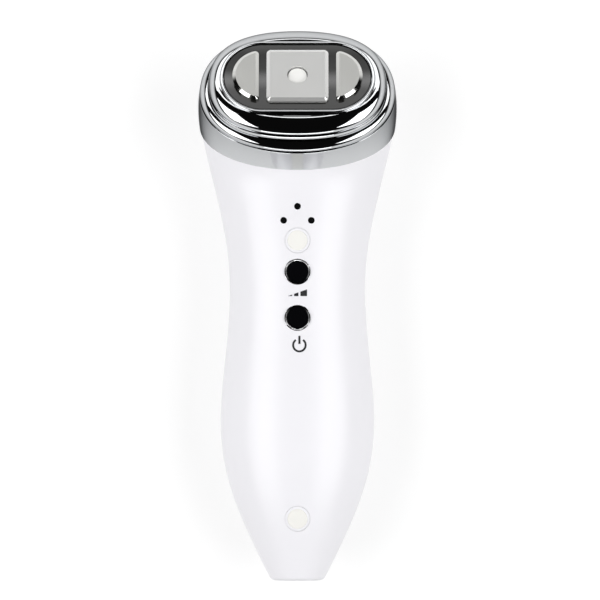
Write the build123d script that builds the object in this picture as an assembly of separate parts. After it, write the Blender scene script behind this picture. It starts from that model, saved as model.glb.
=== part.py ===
"""Hand-held facial device with a tilted oval head, lying on its back.

Millimetres. X is to the right, Y runs from the tail to the head and Z points out of the
front, where the buttons are. The model is built with the tail end at Y = 0 and is moved at
the end, so that its origin is the centre of its footprint on the table.
"""

import os
from collections import namedtuple
from math import cos, radians, sin, tan

from build123d import *

# Handset: widths and the front and rear lines of the side profile
TAIL_HALF_WIDTH = 8.2
TAIL_FRONT_Z = 27.0
TAIL_REAR_Z = 12.0
TAIL_EDGE_RADIUS = 2.3
BELLY_Y = 49.0
BELLY_HALF_WIDTH = 24.25
BELLY_FRONT_Z = 38.6
BELLY_REAR_Z = 0.0
WAIST_Y = 92.0
WAIST_HALF_WIDTH = 21.4
WAIST_FRONT_Z = 37.6
WAIST_REAR_Z = 1.9
NECK_HALF_WIDTH = 23.8
NAPE_HALF_WIDTH = 26.3
CROWN_HALF_WIDTH = 28.8
COLLAR_HALF_WIDTH = 30.5
SKIRT_HALF_WIDTH = 31.3
FRONT_FULLNESS = 0.57
REAR_FULLNESS = 0.62
WALL = 2.0
TAIL_WALL = 2.2
SPLIT_Z = 19.5
LIP_HEIGHT = 1.4
LIP_CLEARANCE = 0.06

# Treatment face: its centre and its tilt out of the handset's front
FACE_Y = 158.8
FACE_Z = 43.0
FACE_TILT = 33.0

# Chromed collar: each form lies below the one before it, and as far outside it
# as its run says
RIM_LENGTH = 48.8
RIM_HEIGHT = 27.2
RIM_WIDTH = 1.05
RIM_RISE = 0.9
RIM_EDGE_RADIUS = 0.4
RIM_INNER_RADIUS = 0.25
DOME_HALF_LENGTH = 25.2
DOME_HALF_HEIGHT = 14.7
DOME_DROP = 3.0
DOME_END_RUN = 2.55
DOME_SIDE_RUN = 4.85
STEP_DROP = 0.9
STEP_RUN = 0.28
TIER_DROP = 1.65
TIER_RUN = 0.27
ROLL_DROP = 2.35
ROLL_RUN = 2.45
OVAL_FULLNESS = 0.66
EDGE_FULLNESS = 0.6
BEZEL_PROUD = 0.4
BEZEL_WALL = 1.9
SPIGOT_LENGTH = 4.5
SPIGOT_WALL = 1.4
SPIGOT_CLEARANCE = 0.1
BEAD_HEIGHT = 0.6
BEAD_WIDTH = 1.2
BEAD_SETBACK = 2.0
FLANGE_THICKNESS = 1.6

# Window, gasket and electrodes on the treatment face
WINDOW_RECESS = 0.4
WINDOW_THICKNESS = 1.6
WINDOW_CLEARANCE = 0.1
WINDOW_BEVEL = 0.35
GASKET_THICKNESS = 0.5
SEAT_WIDTH = 1.9
SEAT_THICKNESS = 1.7
PLATE_SIZE = 19.4
PLATE_CORNER = 1.5
ELECTRODE_PROUD = 1.4
ELECTRODE_BEVEL = 1.0
ELECTRODE_BEVEL_DEPTH = 0.5
OUTLET_HOLE_DIAMETER = 6.4
MOON_RADIUS = 9.6
MOON_GAP = 2.45
MOON_CORNER = 1.2
STUD_DIAMETER = 2.0
STUD_CLEARANCE = 0.1
STUD_END = 2.4
PLATE_STUD_OFFSET = 8.0
MOON_STUD_SPACING = 9.2
MOON_STUD_OFFSET = 5.0
NUT_FLATS = 4.0
NUT_THICKNESS = 1.6

# Electrode carrier and ultrasonic transducer behind the window
CARRIER_THICKNESS = 2.0
CARRIER_CLEARANCE = 0.6
CARRIER_SCREW_X = 14.0
CARRIER_SCREW_Y = 13.0
CARRIER_SCREW_DIAMETER = 1.8
CARRIER_SCREW_HEAD = 3.4
CARRIER_SCREW_HEAD_HEIGHT = 1.2
CARRIER_SCREW_GRIP = 1.3
CARRIER_SOCKET_WALL = 0.8
CARRIER_SOCKET_DEPTH = 3.0
LENS_RECESS = 0.8
LENS_NOSE_DIAMETER = 5.8
LENS_FLANGE_DIAMETER = 12.6
LENS_FLANGE_THICKNESS = 1.6
LENS_FOCUS_RADIUS = 12.2
LENS_FOCUS_HEIGHT = 0.7
LENS_CLEARANCE = 0.1
CAN_DIAMETER = 15.6
CAN_WALL = 1.4
CAN_DEPTH = 12.0
CAN_FLOOR = 1.4
CAN_CHAMFER = 0.8
PIEZO_THICKNESS = 1.2
BACKING_DIAMETER = 10.0

# Buttons, indicator lenses and screw covers on the front
MODE_BUTTON_Y = 97.6
POWER_BUTTON_Y = 83.1
RING_DIAMETER = 8.2
RING_WALL = 0.6
RING_PROUD = 0.15
RING_CLEARANCE = 0.03
CAP_CLEARANCE = 0.1
CAP_SINK = 0.25
CAP_CROWN = 0.25
CAP_FLANGE_OVERLAP = 0.65
CAP_FLANGE_THICKNESS = 0.9
CAP_FLANGE_GAP = 0.15
BUTTON_TRAVEL = 0.5
STEM_DIAMETER = 3.4
LENS_PIN_DIAMETER = 2.05
LENS_PIN_CLEARANCE = 0.03
LENS_PIN_FLANGE = 3.0
LENS_PIN_FLANGE_THICKNESS = 0.8
LENS_PIN_FLANGE_GAP = 0.1
INDICATOR_TOP_Y = 118.1
INDICATOR_PAIR_Y = 113.7
INDICATOR_PAIR_X = 4.35
UPPER_SCREW_Y = 107.4
LOWER_SCREW_Y = 19.8
COVER_DIAMETER = 7.9
COVER_CLEARANCE = 0.06
COVER_THICKNESS = 3.0
WELL_WALL = 1.2
WELL_BORE = 6.0
WELL_FLOOR_Z = 22.0
WELL_FLOOR_THICKNESS = 2.0
BOSS_DIAMETER = 6.4
CASE_SCREW_DIAMETER = 2.6
CASE_SCREW_LENGTH = 11.0
CASE_SCREW_TIP_GAP = 1.0
CASE_SCREW_HEAD = 5.0
CASE_SCREW_HEAD_HEIGHT = 1.9
SCREW_CLEARANCE = 0.05
SCREW_SLOT_WIDTH = 0.6

# Circuit board and what it carries
BOARD_THICKNESS = 1.6
BOARD_WIDTH = 28.0
BOARD_START_Y = 60.5
BOARD_END_Y = 122.5
BOARD_CORNER = 2.0
BOARD_WELL_GAP = 0.4
BOARD_SCREW_X = 10.6
BOARD_SCREW_INSET = 3.6
BOARD_SCREW_DIAMETER = 2.0
BOARD_SCREW_LENGTH = 5.0
BOARD_SCREW_HEAD = 3.8
BOARD_SCREW_HEAD_HEIGHT = 1.3
BOARD_SCREW_TIP_GAP = 0.3
BOARD_BOSS_DIAMETER = 4.6
SWITCH_SIZE = 6.0
SWITCH_HEIGHT = 3.5
SWITCH_LEG = 0.7
SWITCH_LEG_HEIGHT = 0.9
SWITCH_LEG_PITCH = 4.5
PLUNGER_HEIGHT = 0.9
PLUNGER_DEPTH = 1.0
PLUNGER_CLEARANCE = 0.1
STEM_LENGTH = 0.9

# Power inlet in the tail end
INLET_BORE = 5.7
INLET_NOSE_DIAMETER = 7.6
INLET_PIN_DIAMETER = 2.0
INLET_PIN_TIP = 0.6
INLET_STEM_DIAMETER = 1.5
INLET_DEPTH = 9.5
INLET_PIN_SETBACK = 0.8
INLET_BODY_WIDTH = 8.6
INLET_BODY_LENGTH = 11.0
INLET_CLEARANCE = 0.1
INLET_TAG = 1.2
INLET_BLADE_WIDTH = 2.4
INLET_BLADE_THICKNESS = 0.5
INLET_BLADE_BITE = 0.3
INLET_BLADE_SETBACK = 3.0
RIB_THICKNESS = 1.4
RIB_SETBACK = 3.0

# Parts on the board, each placed by its centre
LAMP_LENGTH = 1.6
LAMP_WIDTH = 0.8
LAMP_HEIGHT = 0.7
CHIP_SIZE = 9.0
CHIP_HEIGHT = 1.2
CHIP_SETBACK = 12.0
TRANSFORMER_PLACE = (-4.0, 73.0)
CORE_WIDTH = 16.0
CORE_LENGTH = 9.3
CORE_HEIGHT = 11.0
WINDING_LENGTH = 15.0
WINDING_GAP = 0.1
WINDING_CORNER = 1.2
CAPACITOR_DIAMETER = 6.3
CAPACITOR_HEIGHT = 9.0
CAPACITOR_PLACES = [(-8.5, 86.0), (-8.5, 93.5)]
INDUCTOR_PLACE = (8.0, 84.0)
INDUCTOR_DIAMETER = 8.6
INDUCTOR_HEIGHT = 7.0
INDUCTOR_FLANGE = 1.4
INDUCTOR_WAIST = 6.8
BUZZER_PLACE = (7.5, 95.5)
BUZZER_DIAMETER = 9.0
BUZZER_HEIGHT = 4.5
BUZZER_HOLE_DIAMETER = 1.6
BUZZER_HOLE_DEPTH = 1.0
TRANSISTOR_PLACE = (9.6, 74.0)
TRANSISTOR_SIZE = (6.6, 6.1, 2.3)
TRANSISTOR_TAB_SIZE = (5.3, 1.4, 0.6)
TRANSISTOR_LEG_SIZE = (0.7, 2.0, 0.6)
TRANSISTOR_LEG_PITCH = 2.3
TRANSISTOR_ROOT = 0.15
CONNECTOR_LENGTH = 4.6
CONNECTOR_HEIGHT = 4.4
POWER_SOCKET_PLACE = (0.0, 62.9)
POWER_SOCKET_WIDTH = 6.5
TRANSDUCER_SOCKET_PLACE = (-5.0, 120.1)
TRANSDUCER_SOCKET_WIDTH = 6.0
ELECTRODE_SOCKET_PLACE = (4.4, 120.1)
ELECTRODE_SOCKET_WIDTH = 8.0

# Wires
CABLE_DIAMETER = 2.2
CABLE_CLEARANCE = 0.1
WIRE_DIAMETER = 1.2
BEND_SHARE = 0.45  # of the shorter run beside a bend
LEAD_TAIL = 2.8
LEAD_PITCH = 2.5
POWER_LEAD_X = 3.0
POWER_LEAD_DROP = 2.7

# How far a cutting shape runs past a face, how far a fused one reaches into its
# neighbour, and a length beyond everything
CUT = 1.0
ROOT = 0.5
FAR = 400.0

# The face frame, and the stations of the handset
FACE_NORMAL = (sin(radians(FACE_TILT)), cos(radians(FACE_TILT)))
FACE_PLANE = Plane(origin=(0, FACE_Y, FACE_Z), x_dir=(1, 0, 0), z_dir=(0, *FACE_NORMAL))

Station = namedtuple("Station", "front rear half_width")


def upright(y, front, rear, half_width):
    """A station that stands square to the handset's length."""
    return Station((y, front), (y, rear), half_width)


def blend(start, end, share):
    return start + (end - start) * share


def tail_station(share):
    """From the tail end to the belly every line swells as a quarter sine."""
    swell = sin(radians(90 * share))
    return upright(
        BELLY_Y * share,
        blend(TAIL_FRONT_Z, BELLY_FRONT_Z, swell),
        blend(TAIL_REAR_Z, BELLY_REAR_Z, swell),
        blend(TAIL_HALF_WIDTH, BELLY_HALF_WIDTH, swell),
    )


def waist_station(share):
    """From the belly to the waist every line eases in as half a cosine."""
    ease = (1 - cos(radians(180 * share))) / 2
    return upright(
        blend(BELLY_Y, WAIST_Y, share),
        blend(BELLY_FRONT_Z, WAIST_FRONT_Z, ease),
        blend(BELLY_REAR_Z, WAIST_REAR_Z, ease),
        blend(BELLY_HALF_WIDTH, WAIST_HALF_WIDTH, ease),
    )


NECK = Station((112.0, 37.6), (115.2, 0.6), NECK_HALF_WIDTH)
NAPE = Station((119.5, 38.0), (129.7, 0.1), NAPE_HALF_WIDTH)
CROWN = Station((125.2, 38.8), (145.1, 4.3), CROWN_HALF_WIDTH)
COLLAR = Station((129.5, 40.5), (157.9, 12.1), COLLAR_HALF_WIDTH)
SKIRT = Station((132.0, 43.6), (165.9, 16.6), SKIRT_HALF_WIDTH)

HANDSET_STATIONS = (
    [tail_station(share) for share in (0, 0.22, 0.46, 0.72, 1)]
    + [waist_station(share) for share in (0.35, 0.68, 1)]
    + [NECK, NAPE, CROWN, COLLAR]
)


def section(station, inset, front_fullness=FRONT_FULLNESS, rear_fullness=REAR_FULLNESS):
    """A closed outline of four quadrants round a station, drawn in by the inset."""
    front = Vector(0, *station.front)
    rear = Vector(0, *station.rear)
    centre = (front + rear) * 0.5
    up = (front - rear).normalized() * ((front - rear).length / 2 - inset)
    across = Vector(1, 0, 0) * (station.half_width - inset)
    quadrants = [
        (across, up, front_fullness),
        (up, across * -1, front_fullness),
        (across * -1, up * -1, rear_fullness),
        (up * -1, across, rear_fullness),
    ]
    return Wire(
        Bezier(
            centre + start,
            centre + start + end * fullness,
            centre + end + start * fullness,
            centre + end,
        )
        for start, end, fullness in quadrants
    )


def handset_loft(inset):
    """The handset's body from the tail end to past the collar, drawn in by the inset."""
    past_collar = section(SKIRT, inset + BEZEL_PROUD)
    return Solid.make_loft([section(s, inset) for s in HANDSET_STATIONS] + [past_collar])


# Levels of the collar: a depth below the rim with the oval's half length and height
Level = namedtuple("Level", "depth half_length half_height")


def below(level, drop, end_run=0, side_run=0):
    """The level that lies further down, and further out by its runs."""
    return Level(level.depth + drop, level.half_length + end_run, level.half_height + side_run)


DOME_TOP = Level(RIM_RISE, DOME_HALF_LENGTH, DOME_HALF_HEIGHT)
DOME_FOOT = below(DOME_TOP, DOME_DROP, DOME_END_RUN, DOME_SIDE_RUN)
TIER_TOP = below(DOME_FOOT, STEP_DROP, STEP_RUN, STEP_RUN)
ROLL_TOP = below(TIER_TOP, TIER_DROP, TIER_RUN, TIER_RUN)
EDGE = below(ROLL_TOP, ROLL_DROP, ROLL_RUN, ROLL_RUN)


def oval(level, fullness=OVAL_FULLNESS, inset=0):
    """A closed outline parallel to the treatment face, drawn in by the inset."""
    centre = Vector(0, FACE_Y, FACE_Z) - Vector(0, *FACE_NORMAL) * level.depth
    forward = Vector(0, -FACE_NORMAL[1], FACE_NORMAL[0]) * level.half_height
    front = centre + forward
    rear = centre - forward
    station = Station((front.Y, front.Z), (rear.Y, rear.Z), level.half_length)
    return section(station, inset, fullness, fullness)


def straight_tier(lower, upper, inset=0):
    """A solid with straight sides between two levels."""
    return Solid.make_loft([oval(lower, inset=inset), oval(upper, inset=inset)], True)


def crowned_tier(foot, top, foot_fullness=OVAL_FULLNESS):
    """A solid whose side rounds over, as a quarter ellipse, from its foot to its flat top."""
    outlines = []
    for share in (0, 1 / 3, 2 / 3, 1):
        climb = sin(radians(90 * share))
        reach = cos(radians(90 * share))
        level = Level(
            blend(foot.depth, top.depth, climb),
            blend(top.half_length, foot.half_length, reach),
            blend(top.half_height, foot.half_height, reach),
        )
        outlines.append(oval(level, blend(foot_fullness, OVAL_FULLNESS, share)))
    return Solid.make_loft(outlines)


def cylinder_at(x, y, bottom, top, diameter):
    return Pos(x, y, bottom) * Cylinder(
        diameter / 2, top - bottom, align=(Align.CENTER, Align.CENTER, Align.MIN)
    )


def along_y(z, start, end, diameter):
    return Pos(0, start, z) * Rot(-90, 0, 0) * Cylinder(
        diameter / 2, end - start, align=(Align.CENTER, Align.CENTER, Align.MIN)
    )


def box_between(x0, x1, y0, y1, z0, z1):
    return Pos((x0 + x1) / 2, (y0 + y1) / 2, (z0 + z1) / 2) * Box(x1 - x0, y1 - y0, z1 - z0)


def stadium(length, height, top, thickness):
    """A flat bar with round ends, its top at the given level of the face frame."""
    outline = SlotOverall(length, height)
    return Pos(0, 0, top - thickness) * extrude(outline, thickness)


def screw(diameter, length, head_diameter, head_height):
    """A pan-head screw pointing down, with the underside of its head at Z = 0."""
    shank = cylinder_at(0, 0, -length, 0, diameter)
    head = cylinder_at(0, 0, 0, head_height, head_diameter)
    half_slot = SCREW_SLOT_WIDTH / 2
    reach = head_diameter / 3
    slot = box_between(-reach, reach, -half_slot, half_slot, head_height / 2, FAR)
    return shank + head - slot


# Space of the handset and of its hollow
collar_direction = Vector(0, *COLLAR.front) - Vector(0, *COLLAR.rear)
COLLAR_PLANE = Plane(
    origin=(Vector(0, *COLLAR.front) + Vector(0, *COLLAR.rear)) * 0.5,
    x_dir=(1, 0, 0),
    z_dir=collar_direction.cross(Vector(1, 0, 0)),
)


def slab(plane, bottom, top):
    """All space between two levels of a plane."""
    return plane * Pos(0, 0, (bottom + top) / 2) * Box(FAR, FAR, top - bottom)


handset = handset_loft(0)
middle_core = handset_loft(WALL / 2)
cavity = handset_loft(WALL) & box_between(-FAR, FAR, TAIL_WALL, FAR, -FAR, FAR)
below_collar = slab(COLLAR_PLANE, -FAR, 0)


def front_z(y, x=0.01):
    """Height of the handset's front surface above a place, a little beside its seam."""
    hits = handset.find_intersection_points(Axis((x, y, -FAR), (0, 0, 1)))
    return max(hit[0].Z for hit in hits)


# Levels, measured along the face frame from the rim, and heights of the buttons
WINDOW_BOTTOM = -WINDOW_RECESS - WINDOW_THICKNESS
SEAT_TOP = WINDOW_BOTTOM - GASKET_THICKNESS
SEAT_BOTTOM = SEAT_TOP - SEAT_THICKNESS
CARRIER_BOTTOM = SEAT_BOTTOM - CARRIER_THICKNESS
HOLLOW_TOP = Level(-SEAT_BOTTOM, DOME_FOOT.half_length, DOME_FOOT.half_height)
ELECTRODE_TOP = -WINDOW_RECESS + ELECTRODE_PROUD
POCKET_LENGTH = RIM_LENGTH - 2 * RIM_WIDTH
POCKET_HEIGHT = RIM_HEIGHT - 2 * RIM_WIDTH
OPENING_LENGTH = POCKET_LENGTH - 2 * SEAT_WIDTH
OPENING_HEIGHT = POCKET_HEIGHT - 2 * SEAT_WIDTH
END_CENTRE_X = (RIM_LENGTH - RIM_HEIGHT) / 2
INLET_Z = (TAIL_FRONT_Z + TAIL_REAR_Z) / 2
INLET_BLADE_TOP = INLET_Z - INLET_BORE / 2 + INLET_BLADE_BITE
INLET_BLADE_BOTTOM = INLET_BLADE_TOP - INLET_BLADE_THICKNESS
INLET_BLADE_START = TAIL_WALL + INLET_BLADE_SETBACK
INLET_END = TAIL_WALL + INLET_BODY_LENGTH

BUTTON_PLACES = {"mode": MODE_BUTTON_Y, "power": POWER_BUTTON_Y}
RING_BORE = RING_DIAMETER - 2 * RING_WALL
CAP_DIAMETER = RING_BORE - 2 * CAP_CLEARANCE
CAP_FLANGE_DIAMETER = RING_BORE + 2 * CAP_FLANGE_OVERLAP
SCREW_PLACES = {"upper": UPPER_SCREW_Y, "lower": LOWER_SCREW_Y}
WELL_DIAMETER = COVER_DIAMETER + 2 * COVER_CLEARANCE + 2 * WELL_WALL
INDICATOR_PLACES = {
    "top": (0, INDICATOR_TOP_Y),
    "left": (-INDICATOR_PAIR_X, INDICATOR_PAIR_Y),
    "right": (INDICATOR_PAIR_X, INDICATOR_PAIR_Y),
}
BOARD_SCREW_PLACES = [
    (x, y)
    for x in (-BOARD_SCREW_X, BOARD_SCREW_X)
    for y in (BOARD_START_Y + BOARD_SCREW_INSET, BOARD_END_Y - BOARD_SCREW_INSET)
]
CARRIER_SCREW_PLACES = [
    (x, y)
    for x in (-CARRIER_SCREW_X, CARRIER_SCREW_X)
    for y in (-CARRIER_SCREW_Y, CARRIER_SCREW_Y)
]
MOON_STUD_X = END_CENTRE_X + MOON_STUD_OFFSET
PLATE_STUDS = [
    (-PLATE_STUD_OFFSET, -PLATE_STUD_OFFSET),
    (PLATE_STUD_OFFSET, PLATE_STUD_OFFSET),
]
LEFT_STUDS = [(-MOON_STUD_X, y) for y in (-MOON_STUD_SPACING / 2, MOON_STUD_SPACING / 2)]
RIGHT_STUDS = [(MOON_STUD_X, y) for y in (-MOON_STUD_SPACING / 2, MOON_STUD_SPACING / 2)]
ALL_STUDS = PLATE_STUDS + LEFT_STUDS + RIGHT_STUDS
STUD_HOLE = STUD_DIAMETER + 2 * STUD_CLEARANCE
NOSE_HOLE = LENS_NOSE_DIAMETER + 2 * LENS_CLEARANCE


def ring_top(y):
    return front_z(y) + RING_PROUD


def ring_bottom(y):
    """The ring ends level with the inside of the wall."""
    return front_z(y) - WALL - RING_PROUD


def flange_top(y):
    return ring_bottom(y) - CAP_FLANGE_GAP


# The board hangs so that a switch under the lower of the two caps just meets its stem
LOWEST_FLANGE = min(flange_top(y) for y in BUTTON_PLACES.values())
BOARD_TOP = LOWEST_FLANGE - CAP_FLANGE_THICKNESS - STEM_LENGTH - PLUNGER_HEIGHT - SWITCH_HEIGHT
BOARD_BOTTOM = BOARD_TOP - BOARD_THICKNESS
SOCKET_LEVEL = BOARD_BOTTOM - CONNECTOR_HEIGHT / 2


def case_shells():
    """The two moulded halves, with wells, bosses, ribs and the lip between them."""
    tail_edges = handset.faces().sort_by(Axis.Y)[0].edges()
    outer = fillet(tail_edges, TAIL_EDGE_RADIUS) & below_collar
    groove_core = handset_loft(WALL - BEAD_HEIGHT - SPIGOT_CLEARANCE)
    groove = groove_core & slab(
        COLLAR_PLANE,
        -BEAD_SETBACK - BEAD_WIDTH - SPIGOT_CLEARANCE,
        -BEAD_SETBACK + SPIGOT_CLEARANCE,
    )
    wall = outer - cavity - groove
    front_space = box_between(-FAR, FAR, -FAR, FAR, SPLIT_Z, FAR)
    rear_space = box_between(-FAR, FAR, -FAR, FAR, -FAR, SPLIT_Z)
    front = wall & front_space
    rear = wall & rear_space

    lip_space = below_collar & slab(COLLAR_PLANE, -FAR, -SPIGOT_LENGTH)
    lip_start = TAIL_WALL + LIP_CLEARANCE
    lip_bottom = SPLIT_Z - LIP_HEIGHT
    lip_band = box_between(-FAR, FAR, lip_start, FAR, lip_bottom, SPLIT_Z + ROOT)
    step_band = box_between(
        -FAR, FAR, TAIL_WALL, FAR, lip_bottom - LIP_CLEARANCE, SPLIT_Z + ROOT
    )
    lip_core = handset_loft(WALL / 2 + LIP_CLEARANCE)
    front = front + ((lip_core - cavity) & lip_band & lip_space)
    rear = rear - (middle_core & step_band & lip_space)

    for y in SCREW_PLACES.values():
        well = cylinder_at(0, y, WELL_FLOOR_Z - WELL_FLOOR_THICKNESS, FAR, WELL_DIAMETER)
        front = front + (well & middle_core)
        cover_floor = front_z(y) - COVER_THICKNESS
        front = front - cylinder_at(0, y, cover_floor, FAR, COVER_DIAMETER + 2 * COVER_CLEARANCE)
        front = front - cylinder_at(0, y, WELL_FLOOR_Z, FAR, WELL_BORE)
        front = front - cylinder_at(0, y, 0, FAR, CASE_SCREW_DIAMETER + 4 * SCREW_CLEARANCE)
        boss_top = WELL_FLOOR_Z - WELL_FLOOR_THICKNESS
        boss = cylinder_at(0, y, -FAR, boss_top, BOSS_DIAMETER) & middle_core
        pilot_bottom = boss_top - CASE_SCREW_LENGTH
        pilot = cylinder_at(
            0, y, pilot_bottom, boss_top, CASE_SCREW_DIAMETER + 2 * SCREW_CLEARANCE
        )
        rear = rear + boss - pilot

    for x, y in BOARD_SCREW_PLACES:
        boss = cylinder_at(x, y, BOARD_TOP, FAR, BOARD_BOSS_DIAMETER) & middle_core
        pilot_top = BOARD_BOTTOM + BOARD_SCREW_LENGTH + BOARD_SCREW_TIP_GAP
        pilot = cylinder_at(x, y, 0, pilot_top, BOARD_SCREW_DIAMETER + 2 * SCREW_CLEARANCE)
        front = front + boss - pilot

    for y in BUTTON_PLACES.values():
        front = front - cylinder_at(0, y, BOARD_TOP, FAR, RING_DIAMETER + 2 * RING_CLEARANCE)
        front = front - cylinder_at(
            0, y, BOARD_TOP, ring_bottom(y), CAP_FLANGE_DIAMETER + 4 * CAP_CLEARANCE
        )
    for x, y in INDICATOR_PLACES.values():
        front = front - cylinder_at(
            x, y, BOARD_TOP, FAR, LENS_PIN_DIAMETER + 2 * LENS_PIN_CLEARANCE
        )

    half = INLET_BODY_WIDTH / 2 + INLET_CLEARANCE
    inlet_space = box_between(-half, half, 0, FAR, INLET_Z - half, INLET_Z + half)
    rib_y = INLET_END - RIB_SETBACK
    rib = box_between(-FAR, FAR, rib_y - RIB_THICKNESS, rib_y, -FAR, FAR) & middle_core
    nose_hole = INLET_NOSE_DIAMETER + 2 * INLET_CLEARANCE
    nose = along_y(INLET_Z, -CUT, TAIL_WALL + CUT, nose_hole)
    rib = rib - inlet_space
    rear_rib_top = lip_bottom - 2 * LIP_CLEARANCE
    rear = rear + (rib & box_between(-FAR, FAR, -FAR, FAR, -FAR, rear_rib_top))
    front = front + (rib & front_space)
    return front - nose, rear - nose


def face_frame(shape):
    """Move a shape made about the origin, facing up, on to the treatment face."""
    return FACE_PLANE * shape


def round_post(x, y, bottom, top, diameter):
    return face_frame(cylinder_at(x, y, bottom, top, diameter))


def face_rim():
    """The racetrack rim round the window, with both its edges rounded."""
    rim = stadium(RIM_LENGTH, RIM_HEIGHT, 0, DOME_FOOT.depth)
    rim = fillet(rim.faces().sort_by(Axis.Z)[-1].edges(), RIM_EDGE_RADIUS)
    rim = rim - stadium(POCKET_LENGTH, POCKET_HEIGHT, CUT, CUT - SEAT_TOP)
    inner_edge = rim.faces().sort_by(Axis.Z)[-1].inner_wires()[0]
    return face_frame(fillet(inner_edge.edges(), RIM_INNER_RADIUS))


def head_bezel():
    """The chromed collar that tips the treatment face out of the handset."""
    skirt = Solid.make_loft(
        [section(COLLAR, -BEZEL_PROUD), section(SKIRT, 0), oval(EDGE, EDGE_FULLNESS)]
    )
    roll = crowned_tier(EDGE, ROLL_TOP, EDGE_FULLNESS)
    tier = straight_tier(below(ROLL_TOP, ROLL_DROP / 2), TIER_TOP)
    step = straight_tier(below(DOME_FOOT, STEP_DROP + TIER_DROP / 2), DOME_FOOT)
    dome = crowned_tier(DOME_FOOT, DOME_TOP)
    spigot_outer = WALL + SPIGOT_CLEARANCE
    spigot_inner = spigot_outer + SPIGOT_WALL
    spigot = handset_loft(spigot_outer) & slab(COLLAR_PLANE, -SPIGOT_LENGTH, FLANGE_THICKNESS / 2)
    bead = handset_loft(WALL - BEAD_HEIGHT) & slab(
        COLLAR_PLANE, -BEAD_SETBACK - BEAD_WIDTH, -BEAD_SETBACK
    )
    body = skirt + roll + tier + step + dome + spigot + bead

    skirt_hollow = Solid.make_loft(
        [
            section(COLLAR, BEZEL_WALL - BEZEL_PROUD),
            section(SKIRT, BEZEL_WALL),
            oval(EDGE, EDGE_FULLNESS, BEZEL_WALL),
        ]
    )
    skirt_hollow = skirt_hollow & slab(COLLAR_PLANE, FLANGE_THICKNESS, FAR)
    skirt_hollow = skirt_hollow & slab(FACE_PLANE, -FAR, -EDGE.depth - BEZEL_WALL)
    tier_hollow = straight_tier(
        below(ROLL_TOP, ROLL_DROP + BEZEL_WALL + ROOT), HOLLOW_TOP, BEZEL_WALL
    )
    throat = handset_loft(spigot_inner) & slab(COLLAR_PLANE, -FAR, FLANGE_THICKNESS + ROOT)
    pocket = face_frame(stadium(POCKET_LENGTH, POCKET_HEIGHT, CUT, CUT - SEAT_TOP))
    opening = face_frame(stadium(OPENING_LENGTH, OPENING_HEIGHT, 0, CUT - SEAT_BOTTOM))
    body = body - skirt_hollow - tier_hollow - throat - pocket
    body = body + face_rim() - opening
    for x, y in CARRIER_SCREW_PLACES:
        body = body - round_post(
            x,
            y,
            SEAT_BOTTOM - CUT,
            SEAT_BOTTOM + CARRIER_SCREW_GRIP + SCREW_CLEARANCE,
            CARRIER_SCREW_DIAMETER + 2 * SCREW_CLEARANCE,
        )
    return body


def drill_studs(plate, bottom, top):
    """Holes for all studs and for the nose of the lens through a plate on the face."""
    for x, y in ALL_STUDS:
        plate = plate - cylinder_at(x, y, bottom - CUT, top + CUT, STUD_HOLE)
    return plate - cylinder_at(0, 0, bottom - CUT, top + CUT, NOSE_HOLE)


def face_window():
    """The smoky panel, bevelled all round, that the electrodes stand on."""
    length = POCKET_LENGTH - 2 * WINDOW_CLEARANCE
    height = POCKET_HEIGHT - 2 * WINDOW_CLEARANCE
    panel = stadium(length, height, -WINDOW_RECESS, WINDOW_THICKNESS)
    panel = chamfer(panel.faces().sort_by(Axis.Z)[-1].edges(), WINDOW_BEVEL)
    return face_frame(drill_studs(panel, WINDOW_BOTTOM, -WINDOW_RECESS))


def window_gasket():
    """A flat ring between the window and its seat."""
    ring = stadium(
        POCKET_LENGTH - 4 * WINDOW_CLEARANCE,
        POCKET_HEIGHT - 4 * WINDOW_CLEARANCE,
        WINDOW_BOTTOM,
        GASKET_THICKNESS,
    )
    hole_height = GASKET_THICKNESS + 2 * CUT
    return face_frame(
        ring - stadium(OPENING_LENGTH, OPENING_HEIGHT, WINDOW_BOTTOM + CUT, hole_height)
    )


def add_studs(pad, places):
    """Threaded posts, which pass through window and carrier, under an electrode."""
    for x, y in places:
        pad = pad + cylinder_at(x, y, CARRIER_BOTTOM - STUD_END, -WINDOW_RECESS, STUD_DIAMETER)
    return face_frame(pad)


def bevel_top(pad):
    top = pad.faces().sort_by(Axis.Z)[-1]
    return chamfer(top.edges(), ELECTRODE_BEVEL, ELECTRODE_BEVEL_DEPTH, reference=top)


def centre_electrode():
    """A square plate with a hole where the sound comes out."""
    outline = RectangleRounded(PLATE_SIZE, PLATE_SIZE, PLATE_CORNER)
    pad = Pos(0, 0, -WINDOW_RECESS) * extrude(outline, ELECTRODE_PROUD)
    pad = bevel_top(pad)
    pad = pad - cylinder_at(0, 0, -FAR, FAR, OUTLET_HOLE_DIAMETER)
    return add_studs(pad, PLATE_STUDS)


def moon_electrode(side):
    """A half moon that follows the round end of the rim."""
    disc = Pos(side * END_CENTRE_X, 0) * Circle(MOON_RADIUS)
    flat_x = PLATE_SIZE / 2 + MOON_GAP
    keep = Pos(side * (flat_x + MOON_RADIUS), 0) * Rectangle(2 * MOON_RADIUS, 4 * MOON_RADIUS)
    outline = disc & keep
    outline = fillet(outline.vertices(), MOON_CORNER)
    pad = Pos(0, 0, -WINDOW_RECESS) * extrude(outline, ELECTRODE_PROUD)
    return add_studs(bevel_top(pad), LEFT_STUDS if side < 0 else RIGHT_STUDS)


def electrode_nuts():
    """A hexagon nut on each stud, under the carrier."""
    nuts = []
    for x, y in ALL_STUDS:
        outline = RegularPolygon(NUT_FLATS / 2, 6, major_radius=False) - Circle(STUD_HOLE / 2)
        nut = Pos(x, y, CARRIER_BOTTOM - NUT_THICKNESS) * extrude(outline, NUT_THICKNESS)
        nuts.append(face_frame(nut))
    return nuts


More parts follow.
